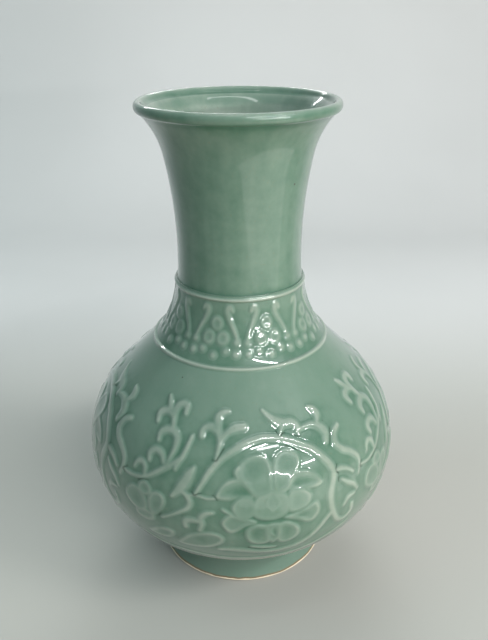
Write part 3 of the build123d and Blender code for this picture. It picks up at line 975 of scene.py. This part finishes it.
def shader_group(name, inputs, outputs):
    """A new shader group with its named sockets, and its input and output nodes."""
    group = bpy.data.node_groups.new(name, "ShaderNodeTree")
    for label, value in inputs.items():
        socket = group.interface.new_socket(label, in_out="INPUT", socket_type=FLOAT)
        socket.default_value = value
    for label, kind in outputs.items():
        group.interface.new_socket(label, in_out="OUTPUT", socket_type=kind)
    return group, group.nodes.new("NodeGroupInput"), group.nodes.new("NodeGroupOutput")


# %% Places and noise
def object_place(tree):
    """The place on the piece, in metres, as a socket."""
    return tree.nodes.new("ShaderNodeTexCoord").outputs["Object"]


def coordinate(tree, place, axis):
    """One coordinate of a place, as a socket."""
    split = tree.nodes.new("ShaderNodeSeparateXYZ")
    tree.links.new(place, split.inputs["Vector"])
    return split.outputs[axis]


def add_noise(tree, place, scale, detail, roughness=0.5):
    """A noise texture, with its scale per metre."""
    noise = tree.nodes.new("ShaderNodeTexNoise")
    noise.inputs["Scale"].default_value = scale
    noise.inputs["Detail"].default_value = detail
    noise.inputs["Roughness"].default_value = roughness
    tree.links.new(place, noise.inputs["Vector"])
    return noise.outputs["Fac"]


# %% Maths, ranges and mixes
def add_math(tree, operation, first, second):
    """A math node. Each of first and second is a socket or a number."""
    node = tree.nodes.new("ShaderNodeMath")
    node.operation = operation
    for socket, value in zip(node.inputs, (first, second)):
        if isinstance(value, (int, float)):
            socket.default_value = value
        else:
            tree.links.new(value, socket)
    return node.outputs["Value"]


def add_range(tree, value, low, high, to_low=0.0, to_high=1.0):
    """Maps a value smoothly from one range to another."""
    node = tree.nodes.new("ShaderNodeMapRange")
    node.interpolation_type = "SMOOTHSTEP"
    tree.links.new(value, node.inputs["Value"])
    for label, number in (("From Min", low), ("From Max", high), ("To Min", to_low), ("To Max", to_high)):
        node.inputs[label].default_value = number
    return node.outputs["Result"]


def add_mix(tree, share, first, second):
    """Mixes two colours. Each is a socket or (red, green, blue)."""
    node = tree.nodes.new("ShaderNodeMix")
    node.data_type = "RGBA"
    colour_inputs = [socket for socket in node.inputs if socket.type == "RGBA"]
    tree.links.new(share, node.inputs["Factor"])
    for socket, value in zip(colour_inputs, (first, second)):
        if isinstance(value, tuple):
            socket.default_value = (*value, 1)
        else:
            tree.links.new(value, socket)
    return next(socket for socket in node.outputs if socket.type == "RGBA")


# %% Colour by depth
THIN = (0.226, 0.272, 0.230)
EVEN = (0.107, 0.171, 0.131)
DEEP = (0.042, 0.106, 0.070)
THIN_TO_EVEN = (-1.0, 0.05)
EVEN_TO_DEEP = (0.0, 0.9)
CLOUD_SCALE = 22
MOTTLE_SCALE = 160
RUN_SCALE = 130
RUN_STRETCH = 0.08
NOISE_MIDDLE = 0.5


def make_celadon_group():
    """Colour of the glaze from how thick it lies, and from the painted shade under the lip, with clouds,
    mottle and runs down the wall.
    """
    group, given, result = shader_group(
        "celadon_by_depth", {"Pool": 0.0, "Cloudiness": 0.2}, {"Colour": COLOUR}
    )
    place = object_place(group)
    stretch = group.nodes.new("ShaderNodeMapping")
    stretch.inputs["Scale"].default_value = (1, 1, RUN_STRETCH)
    group.links.new(place, stretch.inputs["Vector"])
    clouds = add_noise(group, place, CLOUD_SCALE, detail=3)
    mottle = add_noise(group, place, MOTTLE_SCALE, detail=4, roughness=0.6)
    runs = add_noise(group, stretch.outputs["Vector"], RUN_SCALE, detail=2)
    three = add_math(group, "ADD", add_math(group, "ADD", clouds, mottle), runs)
    shift = add_math(group, "SUBTRACT", three, 3 * NOISE_MIDDLE)
    uneven = add_math(group, "MULTIPLY", shift, given.outputs["Cloudiness"])
    depth = add_math(group, "ADD", given.outputs["Pool"], uneven)
    pale = add_mix(group, add_range(group, depth, *THIN_TO_EVEN), THIN, EVEN)
    full = add_mix(group, add_range(group, depth, *EVEN_TO_DEEP), pale, DEEP)
    group.links.new(full, result.inputs["Colour"])
    return group


# %% Pits and specks
PIT_SPACING_SCALE = 75
PIT_RARITY = 0.86
SPECK_SCALE = 900
SPECK_RANGE = (0.62, 0.72)


def make_speck_group():
    """Masks of the few dark pinholes and the many faint iron specks of the glaze."""
    group, given, result = shader_group(
        "pits_and_specks", {"Pit Size": 0.055, "Speck Amount": 0.3}, {"Pits": FLOAT, "Specks": FLOAT}
    )
    place = object_place(group)
    cells = group.nodes.new("ShaderNodeTexVoronoi")
    cells.inputs["Scale"].default_value = PIT_SPACING_SCALE
    group.links.new(place, cells.inputs["Vector"])
    near = add_math(group, "LESS_THAN", cells.outputs["Distance"], given.outputs["Pit Size"])
    split = group.nodes.new("ShaderNodeSeparateColor")
    group.links.new(cells.outputs["Color"], split.inputs["Color"])
    few = add_math(group, "GREATER_THAN", split.outputs["Red"], PIT_RARITY)
    fine = add_range(group, add_noise(group, place, SPECK_SCALE, detail=2), *SPECK_RANGE)
    faint = add_math(group, "MULTIPLY", fine, given.outputs["Speck Amount"])
    group.links.new(add_math(group, "MULTIPLY", near, few), result.inputs["Pits"])
    group.links.new(faint, result.inputs["Specks"])
    return group


# %% Waviness
WAVE_SCALE = 45
PEEL_SCALE = 420


def make_wave_group():
    """Height of the slow waviness and the fine orange peel of a fired glaze."""
    group, given, result = shader_group("fired_surface", {"Peel": 0.25}, {"Height": FLOAT})
    place = object_place(group)
    slow = add_noise(group, place, WAVE_SCALE, detail=2)
    peel = add_math(group, "MULTIPLY", add_noise(group, place, PEEL_SCALE, detail=2), given.outputs["Peel"])
    group.links.new(add_math(group, "ADD", slow, peel), result.inputs["Height"])
    return group


celadon_group = make_celadon_group()
speck_group = make_speck_group()
wave_group = make_wave_group()
print("Groups:", [group.name for group in (celadon_group, speck_group, wave_group)])

# %% [markdown]
# ## The materials
# Celadon glaze is glass over a pale body. The Principled shader's own layer gives the broad, slightly
# soft reflection, and its coat gives the sharp one. Light also spreads a little inside the glaze. The
# same finish serves walls and sprigs, but only walls have pinholes, as a sprig's glaze is too thin.


# %% Values of the glaze
PIT_COLOUR = (0.045, 0.05, 0.04)
SPECK_COLOUR = (0.12, 0.13, 0.08)
BUMP_STRENGTH = 0.35
BUMP_DISTANCE = 0.0004
GLAZE_ROUGHNESS = 0.28
GLAZE_COAT = 1.0
GLAZE_FINISH = {
    "Roughness": GLAZE_ROUGHNESS,
    "IOR": 1.5,
    "Specular IOR Level": 0.2,
    "Coat Weight": GLAZE_COAT,
    "Coat Roughness": 0.035,
    "Coat IOR": 1.5,
    "Subsurface Weight": 0.12,
    "Subsurface Radius": (0.6, 1.0, 0.7),
    "Subsurface Scale": 0.002,
}
print("The finish sets", ", ".join(GLAZE_FINISH))


# %% One glaze material
def use_group(tree, group, values):
    """Places a group in a material and sets its inputs."""
    node = tree.nodes.new("ShaderNodeGroup")
    node.node_tree = group
    for label, value in values.items():
        node.inputs[label].default_value = value
    return node


def make_glaze(name, cloudiness, peel, pit_size, speck_amount):
    """A celadon material, with its shader and its colour's socket for any further layers."""
    material = bpy.data.materials.new(name)
    material.use_nodes = True
    tree = material.node_tree
    shader = tree.nodes["Principled BSDF"]
    pool = tree.nodes.new("ShaderNodeAttribute")
    pool.attribute_name = "pool"
    celadon = use_group(tree, celadon_group, {"Cloudiness": cloudiness})
    tree.links.new(pool.outputs["Fac"], celadon.inputs["Pool"])
    specks = use_group(tree, speck_group, {"Pit Size": pit_size, "Speck Amount": speck_amount})
    colour = add_mix(tree, specks.outputs["Specks"], celadon.outputs["Colour"], SPECK_COLOUR)
    colour = add_mix(tree, specks.outputs["Pits"], colour, PIT_COLOUR)
    tree.links.new(colour, shader.inputs["Base Color"])
    wave = use_group(tree, wave_group, {"Peel": peel})
    bump = tree.nodes.new("ShaderNodeBump")
    bump.inputs["Strength"].default_value = BUMP_STRENGTH
    bump.inputs["Distance"].default_value = BUMP_DISTANCE
    tree.links.new(wave.outputs["Height"], bump.inputs["Height"])
    tree.links.new(bump.outputs["Normal"], shader.inputs["Normal"])
    for label, value in GLAZE_FINISH.items():
        shader.inputs[label].default_value = value
    return material, shader, colour


# %% The glazes of the walls and the relief
wall_glaze, _, _ = make_glaze(
    "celadon_glaze_on_wall", cloudiness=0.55, peel=0.2, pit_size=0.05, speck_amount=0.25
)
relief_glaze, _, _ = make_glaze(
    "celadon_glaze_on_relief", cloudiness=0.55, peel=0.15, pit_size=0.0, speck_amount=0.2
)
print("Made", wall_glaze.name, "and", relief_glaze.name)

# %% [markdown]
# The foot ring keeps its CAD shape. It is glazed down to a thin brown line, where the glaze ends and the
# iron in the clay has rusted. Below it, the edge that the vase stands on is bare cream clay, wiped clean
# so that the vase doesn't stick to the kiln shelf. Masks by height lay the line and the clay over the
# glaze, and a little noise makes the line wander.

# %% Foot ring
BARE_CLAY = (0.66, 0.58, 0.44)
BARE_CLAY_DARK = (0.52, 0.44, 0.32)
CLAY_SCALE = 500
CLAY_ROUGHNESS = 0.85
SCORCHED = (0.16, 0.085, 0.035)
SCORCHED_SHARE = 0.75
GLAZE_LINE = 0.0019  # this and the next five are in metres
LINE_WANDER = 0.0011
LINE_BOTTOM = GLAZE_LINE - 0.0004
LINE_CREST = GLAZE_LINE + 0.0003
LINE_TOP = GLAZE_LINE + 0.0009
CLAY_TOP = GLAZE_LINE - 0.0003
WANDER_SCALE = 150


def make_foot_glaze():
    """Celadon that ends in a rusty line over bare clay."""
    material, shader, glaze = make_glaze(
        "glazed_foot_with_bare_edge", cloudiness=0.25, peel=0.2, pit_size=0.05, speck_amount=0.3
    )
    tree = material.node_tree
    place = object_place(tree)
    centred = add_math(tree, "SUBTRACT", add_noise(tree, place, WANDER_SCALE, detail=3), NOISE_MIDDLE)
    wander = add_math(tree, "MULTIPLY", centred, LINE_WANDER)
    level = add_math(tree, "ADD", coordinate(tree, place, "Z"), wander)
    above_clay = add_range(tree, level, LINE_BOTTOM, GLAZE_LINE)
    below_glaze = add_range(tree, level, LINE_TOP, LINE_CREST)
    line = add_math(tree, "MULTIPLY", above_clay, below_glaze)
    bare = add_range(tree, level, GLAZE_LINE, CLAY_TOP)
    clay = add_mix(tree, add_noise(tree, place, CLAY_SCALE, detail=4), BARE_CLAY, BARE_CLAY_DARK)
    colour = add_mix(tree, add_math(tree, "MULTIPLY", line, SCORCHED_SHARE), glaze, SCORCHED)
    colour = add_mix(tree, bare, colour, clay)
    tree.links.new(colour, shader.inputs["Base Color"])
    roughness = add_range(tree, bare, 0, 1, GLAZE_ROUGHNESS, CLAY_ROUGHNESS)
    tree.links.new(roughness, shader.inputs["Roughness"])
    tree.links.new(add_range(tree, bare, 0, 1, GLAZE_COAT, 0.0), shader.inputs["Coat Weight"])
    return material


# %% Hand out the materials
for piece in walls:
    piece.data.materials.append(wall_glaze)
for piece in sprig_pieces + ridges:
    piece.data.materials.append(relief_glaze)
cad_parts["foot_ring"].material_slots[0].material = make_foot_glaze()
print("Materials in use:", [material.name for material in bpy.data.materials if material.users])

# %% [markdown]
# ## The studio
# A pale table runs up into a pale wall in one sweep, so that no corner draws the eye from the glaze. The
# sweep is a profile line with a copy at each side, and its paper is darker under the vase than behind it.

# %% Paper
TABLE_PAPER = (0.31, 0.31, 0.285)
WALL_PAPER = (0.54, 0.54, 0.535)
PAPER_SHADE = (0.29, 0.30, 0.29)
PAPER_CHANGE = (0.05, 0.4)
PAPER_MOTTLE_SCALE = 3
PAPER_MOTTLE_RANGE = (0.3, 0.8)
PAPER_MOTTLE = 0.15
PAPER_ROUGHNESS = 0.9


def make_paper():
    """Matt paper with a faint mottle, darker under the vase than behind it."""
    material = bpy.data.materials.new("pale_paper")
    material.use_nodes = True
    tree = material.node_tree
    shader = tree.nodes["Principled BSDF"]
    place = object_place(tree)
    behind = add_range(tree, coordinate(tree, place, "Y"), *PAPER_CHANGE)
    noise = add_noise(tree, place, PAPER_MOTTLE_SCALE, detail=3)
    mottle = add_range(tree, noise, *PAPER_MOTTLE_RANGE, 0.0, PAPER_MOTTLE)
    colour = add_mix(tree, mottle, add_mix(tree, behind, TABLE_PAPER, WALL_PAPER), PAPER_SHADE)
    tree.links.new(colour, shader.inputs["Base Color"])
    shader.inputs["Roughness"].default_value = PAPER_ROUGHNESS
    return material


# %% Table and wall
STAGE_HALF = 3.0
STAGE_FRONT = -3.0
WALL_DISTANCE = 0.9
SWEEP_RADIUS = 0.35
SWEEP_PARTS = 24
STAGE_HEIGHT = 2.5

bend = [
    (WALL_DISTANCE - SWEEP_RADIUS * (1 - sin(turn)), SWEEP_RADIUS * (1 - cos(turn)))
    for turn in np.linspace(0, pi / 2, SWEEP_PARTS)
]
sweep_line = [(STAGE_FRONT, 0), *bend, (WALL_DISTANCE, STAGE_HEIGHT)]
sheet = bpy.data.meshes.new("studio_sweep")
sheet.from_pydata(
    [(side * STAGE_HALF, y, z) for y, z in sweep_line for side in (-1, 1)],
    [],
    [(2 * i, 2 * i + 1, 2 * i + 3, 2 * i + 2) for i in range(len(sweep_line) - 1)],
)
sheet.polygons.foreach_set("use_smooth", np.ones(len(sheet.polygons), bool))
sheet.materials.append(make_paper())
sweep = bpy.data.objects.new("studio_sweep", sheet)
bpy.context.scene.collection.objects.link(sweep)
print("The wall stands", WALL_DISTANCE, "m behind the vase")

# %% [markdown]
# ## The lights
# A large light from the right shapes the body, and a dim bluish one keeps its left side cool and dark.
# They would leave hard white squares in a glassy glaze, so reflections don't show them. Long thin lights
# stand in for the edges of a bright window instead: where their reflection crosses the relief, it breaks
# into the small bright squiggles that say wet, glassy glaze. Two lights behind the vase do the same for
# its back. Two more lie on the table, where sunlit cloth would throw warm light up under the belly.

# %% Area lights
MIDDLE = Vector((0, 0, 0.11))
WHITE = (1, 1, 1)


def area_light(name, azimuth, elevation, distance, size, radiance, colour=WHITE, reflected=True):
    """A rectangular light aimed at the vase. azimuth turns it from the front to the right."""
    turn, lift = radians(azimuth), radians(elevation)
    away = Vector((sin(turn) * cos(lift), -cos(turn) * cos(lift), sin(lift)))
    light = bpy.data.lights.new(name, "AREA")
    light.shape = "RECTANGLE"
    light.size, light.size_y = size
    light.energy = pi * radiance * size[0] * size[1]
    light.color = colour
    made = bpy.data.objects.new(name, light)
    made.location = MIDDLE + away * distance
    made.rotation_euler = (-away).to_track_quat("-Z", "Y").to_euler()
    made.visible_glossy = reflected
    made.visible_camera = False
    bpy.context.scene.collection.objects.link(made)
    return made


# %% Soft boxes
BACK_SPREAD = radians(50)
for name, azimuth, elevation, distance, size, radiance, colour in (
    ("key_softbox", 66, 34, 1.6, (0.5, 0.5), 16.5, (1, 0.97, 0.93)),
    ("front_softbox", 14, 56, 1.6, (1.0, 1.0), 0.35, (0.97, 1, 1)),
    ("sky_softbox", -84, 48, 1.6, (1.2, 1.2), 1.35, (0.52, 0.96, 1)),
    ("back_softbox", 176, 40, 0.95, (0.9, 0.5), 0.6, (0.94, 0.98, 1)),
):
    area_light(name, azimuth, elevation, distance, size, radiance, colour, reflected=False)
bpy.data.lights["back_softbox"].spread = BACK_SPREAD

# %% Windows
for name, azimuth, elevation, distance, size, radiance in (
    ("skylight", 14, 76, 1.3, (1.0, 0.07), 6.0),
    ("window_sill", 34, 13, 1.3, (0.92, 0.014), 240),
    ("window_head", 38, 43, 1.3, (1.1, 0.014), 200),
    ("window_pane", 22, 38, 1.3, (0.34, 0.05), 24),
    ("back_window", 196, 36, 1.0, (0.7, 0.014), 50),
):
    area_light(name, azimuth, elevation, distance, size, radiance)


# %% Light from the table
def table_light(name, azimuth, distance, height, size, radiance, colour, reflected):
    """A rectangular light that lies on the table and shines up, as sunlit cloth does."""
    turn = radians(azimuth)
    made = area_light(name, azimuth, 0, distance, size, radiance, colour, reflected)
    made.location = (sin(turn) * distance, -cos(turn) * distance, height)
    made.rotation_euler = (pi, 0, turn)


table_light("sunlit_cloth", 42, 0.34, 0.006, (0.4, 0.3), 1.9, (1, 0.82, 0.44), reflected=False)
table_light("cloth_in_glaze", 46, 0.38, 0.010, (0.46, 0.36), 0.8, (1, 0.98, 0.94), reflected=True)
print("Lights:", [light.name for light in bpy.data.lights])

# %% [markdown]
# ## The room
# Air and walls around the studio send a faint bluish light from everywhere. The vase is lit by less of it
# than the camera sees past the paper's edge, because a bright room would wash the colour out of the glaze.

# %% The room
ROOM_COLOUR = (0.84, 0.96, 1.0, 1)
ROOM_LIGHT = 0.24
ROOM_SEEN = 0.75
world = bpy.data.worlds.new("pale_room")
world.use_nodes = True
tree = world.node_tree
room = tree.nodes["Background"]
room.inputs["Color"].default_value = ROOM_COLOUR
rays = tree.nodes.new("ShaderNodeLightPath")
strength = add_range(tree, rays.outputs["Is Camera Ray"], 0, 1, ROOM_LIGHT, ROOM_SEEN)
tree.links.new(strength, room.inputs["Strength"])
bpy.context.scene.world = world
print("The room lights the vase at", ROOM_LIGHT, "and is seen at", ROOM_SEEN)

# %% [markdown]
# ## The camera
# It looks down at the front of the vase from close by, so that the mouth shows as a wide ellipse and the
# foot looks narrower than it is.

# %% Camera
CAMERA_PLACE = (0, -0.3431, 0.2998)
LOOK_DOWN = radians(24.99)
LOOK_RIGHT = radians(0.339)
TILT = radians(-0.447)
SENSOR_WIDTH = 36
LENS = 39.53
NEAREST_SEEN = 0.01
camera_data = bpy.data.cameras.new("camera")
camera_data.sensor_width = SENSOR_WIDTH
camera_data.lens = LENS
camera_data.clip_start = NEAREST_SEEN
camera = bpy.data.objects.new("camera", camera_data)
turn = Euler((pi / 2 - LOOK_DOWN, 0, -LOOK_RIGHT)).to_matrix().to_4x4() @ Matrix.Rotation(TILT, 4, "Z")
camera.matrix_world = Matrix.Translation(CAMERA_PLACE) @ turn
bpy.context.scene.collection.objects.link(camera)
bpy.context.scene.camera = camera
bpy.context.scene.view_settings.view_transform = "Standard"
print("Camera at", CAMERA_PLACE, "with a lens of", LENS, "mm")
